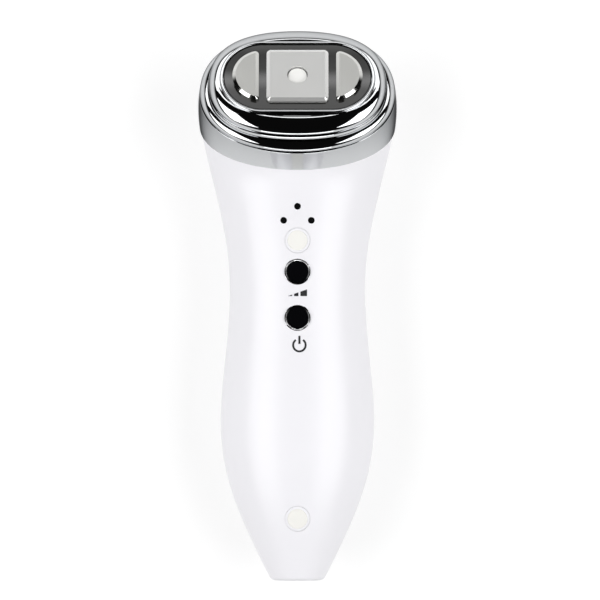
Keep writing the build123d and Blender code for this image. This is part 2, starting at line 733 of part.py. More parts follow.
def electrode_carrier():
    """The moulded plate that clamps the window and holds the transducer."""
    bottom = below(HOLLOW_TOP, CARRIER_THICKNESS)
    plate = straight_tier(bottom, HOLLOW_TOP, BEZEL_WALL + CARRIER_CLEARANCE)
    pad = stadium(
        OPENING_LENGTH - 2 * CARRIER_CLEARANCE,
        OPENING_HEIGHT - 2 * CARRIER_CLEARANCE,
        WINDOW_BOTTOM,
        WINDOW_BOTTOM - SEAT_BOTTOM + ROOT,
    )
    socket_bore = CAN_DIAMETER + 2 * LENS_CLEARANCE
    socket = cylinder_at(
        0,
        0,
        CARRIER_BOTTOM - CARRIER_SOCKET_DEPTH,
        CARRIER_BOTTOM + ROOT,
        socket_bore + 2 * CARRIER_SOCKET_WALL,
    )
    socket = socket - cylinder_at(0, 0, -FAR, CARRIER_BOTTOM, socket_bore)
    body = plate + face_frame(pad) + face_frame(socket)
    for x, y in ALL_STUDS:
        body = body - round_post(x, y, CARRIER_BOTTOM - CUT, CUT, STUD_HOLE)
    body = body - round_post(0, 0, CARRIER_BOTTOM - CUT, CUT, NOSE_HOLE)
    screw_hole = CARRIER_SCREW_DIAMETER + 4 * SCREW_CLEARANCE
    for x, y in CARRIER_SCREW_PLACES:
        body = body - round_post(x, y, CARRIER_BOTTOM - CUT, CUT, screw_hole)
    return body


def carrier_screws():
    turned = Rot(180, 0, 0) * screw(
        CARRIER_SCREW_DIAMETER,
        CARRIER_THICKNESS + CARRIER_SCREW_GRIP,
        CARRIER_SCREW_HEAD,
        CARRIER_SCREW_HEAD_HEIGHT,
    )
    return [
        face_frame(Pos(x, y, CARRIER_BOTTOM) * turned) for x, y in CARRIER_SCREW_PLACES
    ]


def transducer_lens():
    """White acoustic lens: a nose to the face and a hollowed flange in the can."""
    nose_top = ELECTRODE_TOP - LENS_RECESS
    flange_bottom = CARRIER_BOTTOM - LENS_FLANGE_THICKNESS
    nose = cylinder_at(0, 0, flange_bottom, nose_top, LENS_NOSE_DIAMETER)
    flange = cylinder_at(0, 0, flange_bottom, CARRIER_BOTTOM, LENS_FLANGE_DIAMETER)
    focus_z = flange_bottom + LENS_FOCUS_HEIGHT - LENS_FOCUS_RADIUS
    focus = Pos(0, 0, focus_z) * Sphere(LENS_FOCUS_RADIUS)
    return face_frame(nose + flange - focus)


def piezo_disc():
    top = CARRIER_BOTTOM - LENS_FLANGE_THICKNESS
    return round_post(0, 0, top - PIEZO_THICKNESS, top, LENS_FLANGE_DIAMETER)


def transducer_backing():
    top = CARRIER_BOTTOM - LENS_FLANGE_THICKNESS - PIEZO_THICKNESS
    floor_top = CARRIER_BOTTOM - CAN_DEPTH + CAN_FLOOR
    return round_post(0, 0, floor_top, top, BACKING_DIAMETER)


def transducer_can():
    """The metal cup round the transducer, with a hole for its cable."""
    bottom = CARRIER_BOTTOM - CAN_DEPTH
    cup = cylinder_at(0, 0, bottom, CARRIER_BOTTOM, CAN_DIAMETER)
    cup = cup - cylinder_at(0, 0, bottom + CAN_FLOOR, CUT, CAN_DIAMETER - 2 * CAN_WALL)
    cup = chamfer(cup.edges().filter_by(GeomType.CIRCLE).group_by(Axis.Z)[0], CAN_CHAMFER)
    return face_frame(cup - cylinder_at(0, 0, -FAR, 0, CABLE_DIAMETER + 2 * CABLE_CLEARANCE))


def button_ring(y):
    """A bright sleeve pressed into the front wall."""
    outer = cylinder_at(0, y, ring_bottom(y), ring_top(y), RING_DIAMETER)
    return outer - cylinder_at(0, y, 0, FAR, RING_BORE)


def button_cap(y):
    """A glossy cap with a low crown, a flange inside the wall and a stem to the switch."""
    top = ring_top(y) - CAP_SINK
    rise = CAP_CROWN
    radius = (CAP_DIAMETER**2 / 4 + rise**2) / (2 * rise)
    body = cylinder_at(0, y, flange_top(y) - CAP_FLANGE_THICKNESS, top, CAP_DIAMETER)
    body = body & (Pos(0, y, top - radius) * Sphere(radius))
    flange = cylinder_at(
        0, y, flange_top(y) - CAP_FLANGE_THICKNESS, flange_top(y), CAP_FLANGE_DIAMETER
    )
    stem_bottom = BOARD_TOP + SWITCH_HEIGHT + PLUNGER_HEIGHT
    stem = cylinder_at(0, y, stem_bottom, flange_top(y), STEM_DIAMETER)
    return body + flange + stem


def switch_body(y):
    """A push switch with its four legs on the board."""
    half = SWITCH_SIZE / 2
    top = BOARD_TOP + SWITCH_HEIGHT
    body = box_between(-half, half, y - half, y + half, BOARD_TOP, top)
    well = cylinder_at(
        0, y, top - PLUNGER_DEPTH - BUTTON_TRAVEL - PLUNGER_CLEARANCE, FAR,
        STEM_DIAMETER + 2 * PLUNGER_CLEARANCE,
    )
    body = body - well
    leg_top = BOARD_TOP + SWITCH_LEG_HEIGHT
    for x in (-half - SWITCH_LEG, half):
        for side in (-1, 1):
            start = y + side * SWITCH_LEG_PITCH / 2 - SWITCH_LEG / 2
            leg = box_between(x, x + SWITCH_LEG, start, start + SWITCH_LEG, BOARD_TOP, leg_top)
            body = body + leg
    return body


def switch_plunger(y):
    top = BOARD_TOP + SWITCH_HEIGHT
    return cylinder_at(0, y, top - PLUNGER_DEPTH, top + PLUNGER_HEIGHT, STEM_DIAMETER)


def indicator_lens(x, y):
    """A dark light pipe, flush with the front, down to its lamp on the board."""
    pipe = cylinder_at(x, y, BOARD_TOP + LAMP_HEIGHT, FAR, LENS_PIN_DIAMETER) & handset
    top = front_z(y, abs(x) + LENS_PIN_FLANGE / 2) - WALL - LENS_PIN_FLANGE_GAP
    return pipe + cylinder_at(x, y, top - LENS_PIN_FLANGE_THICKNESS, top, LENS_PIN_FLANGE)


def indicator_lamps():
    lamp = Pos(0, 0, BOARD_TOP + LAMP_HEIGHT / 2) * Box(LAMP_LENGTH, LAMP_WIDTH, LAMP_HEIGHT)
    return [Pos(x, y) * lamp for x, y in INDICATOR_PLACES.values()]


def screw_cover(y):
    """A cream plug whose top carries on the front surface."""
    floor = front_z(y) - COVER_THICKNESS
    return cylinder_at(0, y, floor, FAR, COVER_DIAMETER) & handset


def case_screws():
    one = screw(
        CASE_SCREW_DIAMETER,
        WELL_FLOOR_THICKNESS + CASE_SCREW_LENGTH - CASE_SCREW_TIP_GAP,
        CASE_SCREW_HEAD,
        CASE_SCREW_HEAD_HEIGHT,
    )
    return [Pos(0, y, WELL_FLOOR_Z) * one for y in SCREW_PLACES.values()]


def main_board():
    """The circuit board, with a hole that clears the upper screw well."""
    half = BOARD_WIDTH / 2
    board = box_between(-half, half, BOARD_START_Y, BOARD_END_Y, BOARD_BOTTOM, BOARD_TOP)
    board = fillet(board.edges().filter_by(Axis.Z), BOARD_CORNER)
    board = board - cylinder_at(0, UPPER_SCREW_Y, 0, FAR, WELL_DIAMETER + 2 * BOARD_WELL_GAP)
    for x, y in BOARD_SCREW_PLACES:
        board = board - cylinder_at(x, y, 0, FAR, BOARD_SCREW_DIAMETER + 4 * SCREW_CLEARANCE)
    return board


def board_screws():
    turned = Rot(180, 0, 0) * screw(
        BOARD_SCREW_DIAMETER, BOARD_SCREW_LENGTH, BOARD_SCREW_HEAD, BOARD_SCREW_HEAD_HEIGHT
    )
    return [Pos(x, y, BOARD_BOTTOM) * turned for x, y in BOARD_SCREW_PLACES]


def under_board(x, y, width, length, height):
    """A block that hangs from the rear side of the board."""
    return box_between(
        x - width / 2, x + width / 2, y - length / 2, y + length / 2,
        BOARD_BOTTOM - height, BOARD_BOTTOM,
    )


def control_chip():
    half = CHIP_SIZE / 2
    y = BOARD_START_Y + CHIP_SETBACK
    return box_between(-half, half, y - half, y + half, BOARD_TOP, BOARD_TOP + CHIP_HEIGHT)


def transformer_core():
    """A pair of E cores: an outer frame round two windows and a middle limb."""
    x, y = TRANSFORMER_PLACE
    limb = CORE_WIDTH / 4
    lower = Pos(0, 0, -limb / 2)
    core = under_board(x, y, CORE_WIDTH, CORE_LENGTH, CORE_HEIGHT)
    window = lower * under_board(x, y, CORE_WIDTH - limb, FAR, CORE_HEIGHT - limb)
    middle = lower * under_board(x, y, limb, CORE_LENGTH, CORE_HEIGHT - limb)
    return core - window + middle


def transformer_winding():
    """The wound bobbin round the middle limb."""
    x, y = TRANSFORMER_PLACE
    limb = CORE_WIDTH / 4
    both = 2 * WINDING_GAP
    height = CORE_HEIGHT - limb
    coil = under_board(x, y, CORE_WIDTH - limb - both, WINDING_LENGTH, height - both)
    coil = Pos(0, 0, -limb / 2 - WINDING_GAP) * coil
    coil = fillet(coil.edges().filter_by(Axis.Z), WINDING_CORNER)
    return coil - Pos(0, 0, -limb / 2) * under_board(x, y, limb + both, CORE_LENGTH + both, height)


def storage_capacitors():
    return [
        cylinder_at(x, y, BOARD_BOTTOM - CAPACITOR_HEIGHT, BOARD_BOTTOM, CAPACITOR_DIAMETER)
        for x, y in CAPACITOR_PLACES
    ]


def boost_inductor():
    """A drum core: two flanges on a narrower waist."""
    x, y = INDUCTOR_PLACE
    bottom = BOARD_BOTTOM - INDUCTOR_HEIGHT
    lower = cylinder_at(x, y, bottom, bottom + INDUCTOR_FLANGE, INDUCTOR_DIAMETER)
    upper = cylinder_at(x, y, BOARD_BOTTOM - INDUCTOR_FLANGE, BOARD_BOTTOM, INDUCTOR_DIAMETER)
    return lower + upper + cylinder_at(x, y, bottom, BOARD_BOTTOM, INDUCTOR_WAIST)


def buzzer():
    """A round can with a sound hole in its end."""
    x, y = BUZZER_PLACE
    bottom = BOARD_BOTTOM - BUZZER_HEIGHT
    can = cylinder_at(x, y, bottom, BOARD_BOTTOM, BUZZER_DIAMETER)
    return can - cylinder_at(x, y, bottom - CUT, bottom + BUZZER_HOLE_DEPTH, BUZZER_HOLE_DIAMETER)


def driver_transistor():
    """A power transistor laid flat, with its three legs and its metal tab."""
    x, y = TRANSISTOR_PLACE
    half = TRANSISTOR_SIZE[1] / 2 - TRANSISTOR_ROOT
    body = under_board(x, y, *TRANSISTOR_SIZE)
    body = body + under_board(x, y + half + TRANSISTOR_TAB_SIZE[1] / 2, *TRANSISTOR_TAB_SIZE)
    leg_y = y - half - TRANSISTOR_LEG_SIZE[1] / 2
    for dx in (-TRANSISTOR_LEG_PITCH, 0, TRANSISTOR_LEG_PITCH):
        body = body + under_board(x + dx, leg_y, *TRANSISTOR_LEG_SIZE)
    return body


def plug_socket(place, width):
    """A board connector whose cable comes in along the board."""
    x, y = place
    return under_board(x, y, width, CONNECTOR_LENGTH, CONNECTOR_HEIGHT)


def inlet_body():
    """Power inlet: a block in the tail with a nose in the end wall and a round socket."""
    half = INLET_BODY_WIDTH / 2
    start = TAIL_WALL + INLET_CLEARANCE
    body = box_between(-half, half, start, INLET_END, INLET_Z - half, INLET_Z + half)
    nose = along_y(INLET_Z, INLET_CLEARANCE, start + ROOT, INLET_NOSE_DIAMETER)
    bore = along_y(INLET_Z, -CUT, INLET_DEPTH, INLET_BORE)
    pin_hole = along_y(INLET_Z, 0, INLET_END + CUT, INLET_STEM_DIAMETER + INLET_CLEARANCE)
    half_slot = INLET_BLADE_WIDTH / 2 + INLET_CLEARANCE
    slot = box_between(
        -half_slot, half_slot, INLET_BLADE_START, INLET_END + CUT,
        INLET_BLADE_BOTTOM - INLET_CLEARANCE, INLET_BLADE_TOP + INLET_CLEARANCE,
    )
    return body + nose - bore - pin_hole - slot


def inlet_pin():
    """The centre pin, with a round tip, and its tag at the back."""
    pin = along_y(INLET_Z, INLET_PIN_SETBACK, INLET_DEPTH, INLET_PIN_DIAMETER)
    tip = pin.edges().filter_by(GeomType.CIRCLE).sort_by(Axis.Y)[0]
    pin = fillet(tip, (INLET_PIN_DIAMETER - INLET_PIN_TIP) / 2)
    return pin + along_y(INLET_Z, INLET_DEPTH - ROOT, INLET_END + INLET_TAG, INLET_STEM_DIAMETER)


def inlet_blade():
    """The side contact that touches the plug's sleeve."""
    half = INLET_BLADE_WIDTH / 2
    start = INLET_BLADE_START + INLET_CLEARANCE
    end = INLET_END + INLET_TAG
    return box_between(-half, half, start, end, INLET_BLADE_BOTTOM, INLET_BLADE_TOP)


def wire(points, diameter):
    """A round wire along straight runs joined by the widest arcs that they allow."""
    corners = []
    for before, corner, after in zip(points, points[1:], points[2:]):
        incoming = Vector(corner) - Vector(before)
        outgoing = Vector(after) - Vector(corner)
        turn = radians(incoming.get_angle(outgoing))
        corners.append(BEND_SHARE * min(incoming.length, outgoing.length) / tan(turn / 2))
    route = FilletPolyline(points, radius=corners)
    profile = Plane(route @ 0, z_dir=route % 0) * Circle(diameter / 2)
    return sweep(profile, path=route)


def face_point(x, y, level):
    """A place given in the face frame, in the handset's own frame."""
    spot = FACE_PLANE.from_local_coords(Vector(x, y, level))
    return (spot.X, spot.Y, spot.Z)


def power_lead():
    """The cable from the inlet, past the boss of the lower screw, to the board."""
    x, y = POWER_SOCKET_PLACE
    start_z = INLET_Z - POWER_LEAD_DROP
    end_y = y - CONNECTOR_LENGTH / 2
    return wire(
        [
            (POWER_LEAD_X, INLET_END, start_z),
            (POWER_LEAD_X, INLET_END + LEAD_TAIL, start_z),
            (6.4, LOWER_SCREW_Y + 1.5, start_z - 1),
            (5.5, LOWER_SCREW_Y + 15, start_z - 0.5),
            (x, end_y - LEAD_TAIL - 1, SOCKET_LEVEL),
            (x, end_y, SOCKET_LEVEL),
        ],
        CABLE_DIAMETER,
    )


def transducer_lead():
    """The screened cable from the transducer to the board."""
    x, y = TRANSDUCER_SOCKET_PLACE
    floor = CARRIER_BOTTOM - CAN_DEPTH
    end_y = y + CONNECTOR_LENGTH / 2
    return wire(
        [
            face_point(0, 0, floor + CAN_FLOOR),
            face_point(0, 0, floor - 5),
            (x, end_y + 2 * LEAD_TAIL, SOCKET_LEVEL),
            (x, end_y, SOCKET_LEVEL),
        ],
        CABLE_DIAMETER,
    )


def electrode_leads():
    """A wire from the stud of each electrode to the board."""
    x, y = ELECTRODE_SOCKET_PLACE
    end_y = y + CONNECTOR_LENGTH / 2
    stud_end = CARRIER_BOTTOM - STUD_END
    leads = []
    for stud, dx in ((LEFT_STUDS[0], -LEAD_PITCH), (PLATE_STUDS[0], 0), (RIGHT_STUDS[0], LEAD_PITCH)):
        leads.append(
            wire(
                [
                    face_point(*stud, stud_end),
                    face_point(*stud, stud_end - 8),
                    (x + dx, end_y + 2 * LEAD_TAIL, SOCKET_LEVEL),
                    (x + dx, end_y, SOCKET_LEVEL),
                ],
                WIRE_DIAMETER,
            )
        )
    return leads


front_shell, rear_shell = case_shells()

PARTS = {
    "front_shell": front_shell,
    "rear_shell": rear_shell,
    "head_bezel": head_bezel(),
    "window_gasket": window_gasket(),
    "face_window": face_window(),
    "centre_electrode": centre_electrode(),
    "left_electrode": moon_electrode(-1),
    "right_electrode": moon_electrode(1),
    "electrode_nuts": electrode_nuts(),
    "electrode_carrier": electrode_carrier(),
    "carrier_screws": carrier_screws(),
    "transducer_lens": transducer_lens(),
    "piezo_disc": piezo_disc(),
    "transducer_backing": transducer_backing(),
    "transducer_can": transducer_can(),
    "case_screws": case_screws(),
    "main_board": main_board(),
    "board_screws": board_screws(),
    "control_chip": control_chip(),
    "indicator_lamps": indicator_lamps(),
    "transformer_core": transformer_core(),
    "transformer_winding": transformer_winding(),
    "storage_capacitors": storage_capacitors(),
    "boost_inductor": boost_inductor(),
    "buzzer": buzzer(),
    "driver_transistor": driver_transistor(),
    "power_socket": plug_socket(POWER_SOCKET_PLACE, POWER_SOCKET_WIDTH),
    "transducer_socket": plug_socket(TRANSDUCER_SOCKET_PLACE, TRANSDUCER_SOCKET_WIDTH),
    "electrode_socket": plug_socket(ELECTRODE_SOCKET_PLACE, ELECTRODE_SOCKET_WIDTH),
    "inlet_body": inlet_body(),
    "inlet_pin": inlet_pin(),
    "inlet_blade": inlet_blade(),
    "power_lead": power_lead(),
    "transducer_lead": transducer_lead(),
    "electrode_leads": electrode_leads(),
}
for name, y in BUTTON_PLACES.items():
    PARTS[name + "_button_ring"] = button_ring(y)
    PARTS[name + "_button"] = button_cap(y)
    PARTS[name + "_switch"] = switch_body(y)
    PARTS[name + "_switch_plunger"] = switch_plunger(y)
for name, (x, y) in INDICATOR_PLACES.items():
    PARTS["indicator_lens_" + name] = indicator_lens(x, y)
for name, y in SCREW_PLACES.items():
    PARTS[name + "_screw_cover"] = screw_cover(y)

# The origin is the middle of the footprint, at the level of the lowest point
shell_box = rear_shell.bounding_box()
bezel_box = PARTS["head_bezel"].bounding_box()
origin = Location((0, -(shell_box.min.Y + bezel_box.max.Y) / 2, -shell_box.min.Z))

os.makedirs("parts", exist_ok=True)
for name, shape in PARTS.items():
    solids = shape if isinstance(shape, list) else [shape]
    export_step(Compound([origin * solid for solid in solids]), f"parts/{name}.step")

print("origin shift", origin.position)
print("inlet pin tip", (origin * Pos(0, INLET_PIN_SETBACK, INLET_Z)).position)
for name, y in BUTTON_PLACES.items():
    print(name, "button top", (origin * Pos(0, y, ring_top(y) - CAP_SINK)).position)
face_centre = origin * Pos(*face_point(0, 0, ELECTRODE_TOP))
print("electrode plane centre", face_centre.position)
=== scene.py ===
import math

import bmesh
import bpy
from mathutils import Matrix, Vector
from mathutils.interpolate import poly_3d_calc


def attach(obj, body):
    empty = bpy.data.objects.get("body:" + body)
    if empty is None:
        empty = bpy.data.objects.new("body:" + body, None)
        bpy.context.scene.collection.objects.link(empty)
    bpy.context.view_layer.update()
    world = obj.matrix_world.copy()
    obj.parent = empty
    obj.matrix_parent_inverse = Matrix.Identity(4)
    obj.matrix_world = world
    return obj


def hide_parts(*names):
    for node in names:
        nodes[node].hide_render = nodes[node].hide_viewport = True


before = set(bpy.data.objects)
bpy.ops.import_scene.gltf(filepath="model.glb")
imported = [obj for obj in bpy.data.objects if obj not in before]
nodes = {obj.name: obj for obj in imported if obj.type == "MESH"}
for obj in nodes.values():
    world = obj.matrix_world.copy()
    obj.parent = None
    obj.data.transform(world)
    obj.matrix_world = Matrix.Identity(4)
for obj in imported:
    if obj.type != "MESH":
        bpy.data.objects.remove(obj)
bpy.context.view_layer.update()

# The handset lies on its back on a table. Sizes below are millimetres from the
# middle of its tail end, and this shift carries them to the middle of its footprint.
MM = 0.001
footprint = Vector((0, -86.6904, 0.0921))


def spot(x, y, z):
    return (Vector((x, y, z)) + footprint) * MM


# The camera looks straight down on the handset. One picture pixel is 0.315 mm
# at the height of the buttons.
camera_data = bpy.data.cameras.new("camera")
camera_data.sensor_width = 36.0
camera_data.lens = 476.0
camera_data.clip_end = 30.0
camera = bpy.data.objects.new("camera", camera_data)
camera.location = spot(0.79, 88.67, 2530)
bpy.context.scene.collection.objects.link(camera)
bpy.context.scene.camera = camera
bpy.context.scene.view_settings.view_transform = "Standard"

# The table is one wide white sheet just under the handset. It throws back the light
# of grey card, with the handset's shadow in it, and to the eye, in metal and through
# glass it is lifted to white, the more the further off it is.
bpy.ops.object.select_all(action="DESELECT")
bpy.ops.mesh.primitive_plane_add(size=18.0, location=(0, 0, -0.1 * MM))
table = bpy.context.object
table.name = "table"


def new_node(tree, kind, **inputs):
    """Adds a shader node and fills in its inputs, a low line standing for a space."""
    made = tree.nodes.new("ShaderNode" + kind)
    for name, value in inputs.items():
        made.inputs[name.replace("_", " ")].default_value = value
    return made


def wire(tree, *wires):
    """Links nodes, each wire given as a node, its output, another node and its input."""
    for source, outlet, target, inlet in wires:
        tree.links.new(source.outputs[outlet], target.inputs[inlet])


def shader_of(finish):
    return finish.node_tree.nodes["Principled BSDF"]


table_paint = bpy.data.materials.new("table_paint")
table_paint.use_nodes = True
table_tree = table_paint.node_tree
table_shader = shader_of(table_paint)
table_shader.inputs["Base Color"].default_value = (0.42, 0.42, 0.42, 1)
table_shader.inputs["Roughness"].default_value = 0.9
table_shader.inputs["Specular IOR Level"].default_value = 0.1
table_shader.inputs["Emission Color"].default_value = (1, 1, 1, 1)
ray = new_node(table_tree, "LightPath")
seen = new_node(table_tree, "Math")
seen.operation = "MAXIMUM"
seen_through = new_node(table_tree, "Math")
seen_through.operation = "MAXIMUM"
table_place = new_node(table_tree, "TexCoord")
distance = new_node(table_tree, "VectorMath")
distance.operation = "LENGTH"
lift = new_node(table_tree, "MapRange", From_Min=0.15, From_Max=2.0, To_Min=0.645, To_Max=0.95)
whiteness = new_node(table_tree, "Math")
whiteness.operation = "MULTIPLY"
wire(
    table_tree,
    (ray, "Is Camera Ray", seen, 0),
    (ray, "Is Glossy Ray", seen, 1),
    (seen, "Value", seen_through, 0),
    (ray, "Is Transmission Ray", seen_through, 1),
    (table_place, "Object", distance, 0),
    (distance, "Value", lift, "Value"),
    (seen_through, "Value", whiteness, 0),
    (lift, "Result", whiteness, 1),
    (whiteness, "Value", table_shader, "Emission Strength"),
)
table_paint.cycles.emission_sampling = "NONE"
table.data.materials.append(table_paint)

# Two large softboxes stand left and right of the table. A low strip light stands
# beyond the tail, and a wide panel beyond the head shines on the treatment face.
SOFTBOX_SIZE = (0.95, 1.6)
STRIP_SIZE = (1.3, 0.16)
PANEL_SIZE = (2.0, 0.26)


def area_light(name, size, power, place, turn):
    """A rectangular light, turned by angles in degrees."""
    panel = bpy.data.lights.new(name, "AREA")
    panel.shape = "RECTANGLE"
    panel.size, panel.size_y = size
    panel.energy = power
    light = bpy.data.objects.new(name, panel)
    light.location = place
    light.rotation_euler = [math.radians(angle) for angle in turn]
    bpy.context.scene.collection.objects.link(light)


for name, side in (("left_softbox", -1), ("right_softbox", 1)):
    area_light(name, SOFTBOX_SIZE, 15.6, (side * 0.92, -0.05, 0.93), (0, side * 44, 0))
area_light("strip_light", STRIP_SIZE, 3.0, (0, -1.9, 0.20), (84, 0, 0))
area_light("panel_light", PANEL_SIZE, 3.6, (0, 1.72, 0.80), (-66, 0, 0))

# The room is dark overhead and pale down at the horizon, so that the chrome has both
# dark and bright bands to show.
room = bpy.data.worlds.new("room")
bpy.context.scene.world = room
room.use_nodes = True
room_tree = room.node_tree
room_tree.nodes.clear()
direction = new_node(room_tree, "TexCoord")
split = new_node(room_tree, "SeparateXYZ")
fade = new_node(room_tree, "MapRange", From_Min=0.06, From_Max=0.30, To_Min=1.3, To_Max=0.006)
fade.interpolation_type = "SMOOTHSTEP"
glow = new_node(room_tree, "Background")
room_out = new_node(room_tree, "OutputWorld")
wire(
    room_tree,
    (direction, "Generated", split, "Vector"),
    (split, "Z", fade, "Value"),
    (fade, "Result", glow, "Strength"),
    (glow, "Background", room_out, "Surface"),
)

# The case is two glossy white mouldings. Their outer skin is one smooth form
# from the tail to the collar, drawn here as a guide that gives both halves and
# the covers in them their even shine.
QUARTER_POINTS = 40
RING_POINTS = 4 * QUARTER_POINTS
CASE_FULLNESS = (0.57, 0.62)


def select_only(piece):
    bpy.ops.object.select_all(action="DESELECT")
    piece.select_set(True)
    bpy.context.view_layer.objects.active = piece


def arc_ring(front, rear, half_width, front_fullness, rear_fullness):
    """A closed ring of four arcs through its front, rear and side points."""
    middle = (front + rear) / 2
    up = (front - rear) / 2
    across = Vector((half_width, 0, 0))
    bpy.ops.object.select_all(action="DESELECT")
    bpy.ops.curve.primitive_bezier_circle_add()
    ring = bpy.context.object
    ring.data.resolution_u = QUARTER_POINTS
    quarters = [
        (-across, up, rear_fullness, front_fullness),
        (up, across, front_fullness, front_fullness),
        (across, -up, front_fullness, rear_fullness),
        (-up, -across, rear_fullness, rear_fullness),
    ]
    for point, quarter in zip(ring.data.splines[0].bezier_points, quarters):
        place, ahead, before, after = quarter
        point.handle_left_type = "FREE"
        point.handle_right_type = "FREE"
        point.co = middle + place
        point.handle_left = middle + place - ahead * before
        point.handle_right = middle + place + ahead * after
    bpy.ops.object.convert(target="MESH")
    return ring


def bridge_rings(name, rings, closed=False):
    """Joins rings into one skin, each bridged to the next, which isn't quite level with it."""
    count = len(rings[0].data.vertices)
    total = len(rings)
    bpy.ops.object.select_all(action="DESELECT")
    for ring in rings:
        ring.select_set(True)
    bpy.context.view_layer.objects.active = rings[0]
    bpy.ops.object.join()
    skin = bpy.context.object
    skin.name = name
    bpy.ops.object.mode_set(mode="EDIT")
    bpy.ops.mesh.select_mode(type="EDGE")
    for first in range(total if closed else total - 1):
        bpy.ops.mesh.select_all(action="DESELECT")
        shape = bmesh.from_edit_mesh(skin.data)
        shape.edges.ensure_lookup_table()
        for start in (first, (first + 1) % total):
            for index in range(start * count, (start + 1) * count):
                shape.edges[index].select_set(True)
        bpy.ops.mesh.bridge_edge_loops()
    bpy.ops.mesh.select_all(action="SELECT")
    bpy.ops.mesh.normals_make_consistent(inside=False)
    bpy.ops.object.mode_set(mode="OBJECT")
    return skin


def blend(start, end, share):
    return start + (end - start) * share


def case_ring(front_y, front_z, rear_y, rear_z, half_width):
    front = spot(0, front_y, front_z)
    rear = spot(0, rear_y, rear_z)
    return arc_ring(front, rear, half_width * MM, *CASE_FULLNESS)


def ring_between(start, end, along, change):
    """A level ring between two stations: how far along it is, and how far its form has changed."""
    y = blend(start[0], end[0], along)
    front_z, rear_z, half_width = (blend(start[part], end[part], change) for part in (1, 3, 4))
    return case_ring(y, front_z, y, rear_z, half_width)


# A station is the y and z where its ring meets the front, the same for the rear, and
# the ring's half width. The first and the last of the neck only set the slope there.
TAIL = (0.0, 27.0, 0.0, 12.0, 8.2)
BELLY = (49.0, 38.6, 49.0, 0.0, 24.25)
WAIST = (92.0, 37.6, 92.0, 1.9, 21.4)
NECK = [
    (78.2, 37.9, 78.2, 1.43, 22.3),
    WAIST,
    (112.0, 37.6, 115.2, 0.6, 23.8),
    (119.5, 38.0, 129.7, 0.1, 26.3),
    (125.2, 38.8, 145.1, 4.3, 28.8),
    (129.5, 40.5, 157.9, 12.1, 30.5),
    (132.0, 43.6, 165.9, 16.6, 30.9),
]
TAIL_STEPS = 12
WAIST_STEPS = 10
case_rings = []
for step in range(TAIL_STEPS + 1):
    swell = math.sin(math.radians(90 * step / TAIL_STEPS))
    case_rings.append(ring_between(TAIL, BELLY, step / TAIL_STEPS, swell))
for step in range(1, WAIST_STEPS + 1):
    ease = (1 - math.cos(math.radians(180 * step / WAIST_STEPS))) / 2
    case_rings.append(ring_between(BELLY, WAIST, step / WAIST_STEPS, ease))
for index in range(1, len(NECK) - 2):
    four = NECK[index - 1 : index + 3]
    for share in (0.25, 0.5, 0.75, 1.0):
        values = []
        for before, start, end, after in zip(*four):
            pull = (end - before) / 2
            push = (after - start) / 2
            bend = (2 * start - 2 * end + pull + push) * share + (3 * end - 3 * start - 2 * pull - push)
            values.append((bend * share + pull) * share + start)
        case_rings.append(case_ring(*values))
case_guide = bridge_rings("case_guide", case_rings)
bpy.ops.object.shade_smooth()


def merged_copy(name, node, angle=30):
    """A copy of a node's mesh with its loose triangles joined, shaded by angle."""
    piece = bpy.data.objects.new(name, nodes[node].data.copy())
    bpy.context.scene.collection.objects.link(piece)
    select_only(piece)
    bpy.ops.object.mode_set(mode="EDIT")
    bpy.ops.mesh.select_all(action="SELECT")
    bpy.ops.mesh.remove_doubles(threshold=0.001 * MM)
    bpy.ops.object.mode_set(mode="OBJECT")
    bpy.ops.mesh.customdata_custom_splitnormals_clear()
    bpy.ops.object.shade_smooth_by_angle(angle=math.radians(angle))
    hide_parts(node)
    return piece


# A face lies in the guide's skin if it is this near to the guide and turned less than
# 18 degrees from it.
SKIN_REACH = 0.35
SKIN_FACING = 0.95


def guide_normal(point):
    """The guide's smooth normal at its nearest place to a point."""
    found, place, facing, face = case_guide.closest_point_on_mesh(point)
    ends = [case_guide.data.vertices[end] for end in case_guide.data.polygons[face].vertices]
    shares = poly_3d_calc([end.co for end in ends], place)
    return sum((end.normal * share for end, share in zip(ends, shares)), Vector()).normalized()


def even_normals(piece):
    """Shades the faces that lie in the guide's skin with the guide's own normals."""
    mesh = piece.data
    normals = [corner.vector.copy() for corner in mesh.corner_normals]
    known = {}
    for polygon in mesh.polygons:
        found, place, facing, face = case_guide.closest_point_on_mesh(polygon.center)
        if (place - polygon.center).length > SKIN_REACH * MM:
            continue
        if facing.dot(polygon.normal) < SKIN_FACING:
            continue
        for loop in polygon.loop_indices:
            vertex = mesh.loops[loop].vertex_index
            if vertex not in known:
                known[vertex] = guide_normal(mesh.vertices[vertex].co)
            normals[loop] = known[vertex]
    mesh.normals_split_custom_set(normals)


# The halves part at this height. Their outer edges are chamfered there to a fine groove.
# An edge is up to 0.33 mm under the guide, and the lip inside it 0.9 mm or more.
SEAM_HEIGHT = 19.5
SEAM_HALF_WIDTH = 0.24
SEAM_DEPTH = 0.38
EDGE_REACH = 0.6


def open_seam(piece, side):
    """Chamfers the outer edge of a half that lies above (1) or below (-1) the seam."""
    level = spot(0, 0, SEAM_HEIGHT).z
    cut = level + side * SEAM_HALF_WIDTH * MM
    select_only(piece)
    bpy.ops.object.mode_set(mode="EDIT")
    bpy.ops.mesh.select_all(action="SELECT")
    bpy.ops.mesh.bisect(plane_co=(0, 0, cut), plane_no=(0, 0, 1))
    bpy.ops.object.mode_set(mode="OBJECT")
    for vertex in piece.data.vertices:
        if abs(vertex.co.z - level) < 0.002 * MM:
            found, place, facing, face = case_guide.closest_point_on_mesh(vertex.co)
            if (place - vertex.co).length < EDGE_REACH * MM:
                vertex.co -= facing * SEAM_DEPTH * MM
    bpy.ops.object.shade_smooth_by_angle(angle=math.radians(30))


DULLNESS_DRIFT = 0.15


